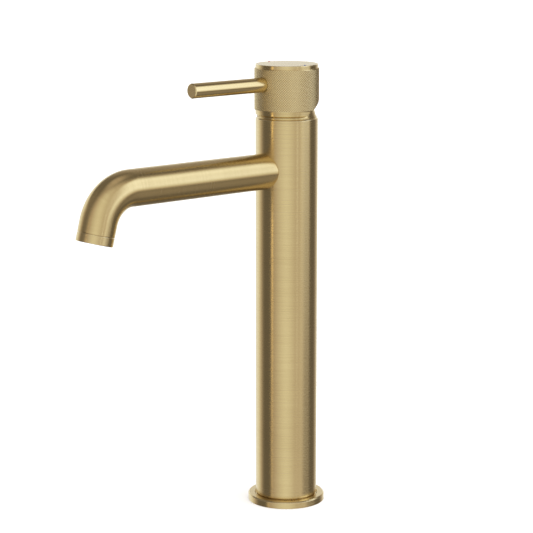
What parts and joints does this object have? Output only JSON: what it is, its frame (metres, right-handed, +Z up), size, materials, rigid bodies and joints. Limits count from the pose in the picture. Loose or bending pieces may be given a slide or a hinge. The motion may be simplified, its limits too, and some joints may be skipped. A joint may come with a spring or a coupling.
{
  "type": "bathroom mixer faucet",
  "caption": "Tall single-lever basin mixer with a round column, bent tube spout and diamond-knurled knob with a rod lever, in brushed brass.",
  "frame": {"origin": "on the column's axis at the deck, in the middle between the two stud holes", "axes": "+Z up along the column, -Y the way the spout and the lever point, -X the hot side and +X the cold side"},
  "size_m": [0.055, 0.2058, 0.3167],
  "materials": {
    "brushed_brass": "brushed around the axis, satin",
    "knurled_brass": "diamond knurl, satin",
    "satin_brass": "fine satin, streaked lengthwise",
    "plain_brass": "machined",
    "copper": "drawn copper tube",
    "black_rubber": "moulded",
    "cartridge_plastic": "moulded",
    "ceramic": "lapped",
    "aerator_plastic": "moulded",
    "steel": "plain stainless",
    "red_enamel": "gloss",
    "blue_enamel": "gloss"
  },
  "bodies": {
    "body": {"column_tube": "brushed_brass", "base_ring": "brushed_brass", "deck_gasket": "black_rubber", "inlet_block": "plain_brass", "hot_riser": "copper", "cold_riser": "copper", "riser_o_rings": "black_rubber", "valve_seat": "plain_brass", "spout_nipple": "plain_brass", "nipple_o_ring": "black_rubber", "spout_root_bush": "plain_brass", "spout_tube": "brushed_brass", "aerator_collar": "brushed_brass", "aerator_insert": "aerator_plastic", "aerator_screen": "steel", "aerator_gasket": "black_rubber", "cartridge_base": "cartridge_plastic", "cartridge_port_seals": "black_rubber", "fixed_disc": "ceramic", "cartridge_housing": "cartridge_plastic", "cartridge_nut": "plain_brass", "bonnet_dome": "brushed_brass"},
    "rotor": {"cartridge_rotor": "cartridge_plastic", "pivot_pin": "steel"},
    "carrier": {"disc_carrier": "cartridge_plastic", "moving_disc": "ceramic"},
    "handle": {"lever_spindle": "plain_brass", "knob_core": "brushed_brass", "knurled_sleeve": "knurled_brass", "knob_cap": "brushed_brass", "hot_dot": "red_enamel", "cold_dot": "blue_enamel", "lever_rod": "satin_brass", "lever_stud": "steel", "handle_grub_screw": "steel"}
  },
  "joints": [
    {"name": "lever_turn", "type": "hinge", "parent": "body", "child": "rotor", "pos_m": [0, 0, 0.2761], "axis": [0, 0, 1], "range_deg": [-50, 50]},
    {"name": "lever_lift", "type": "hinge", "parent": "rotor", "child": "handle", "pos_m": [0, 0, 0.2761], "axis": [-1, 0, 0], "range_deg": [0, 25]},
    {"name": "disc_slide", "type": "slide", "parent": "rotor", "child": "carrier", "axis": [0, 1, 0], "range_m": [-0.004, 0]}
  ],
  "couplings": [
    {"joint": "disc_slide", "follows": "lever_lift", "m_per_rad": -0.00881}
  ]
}
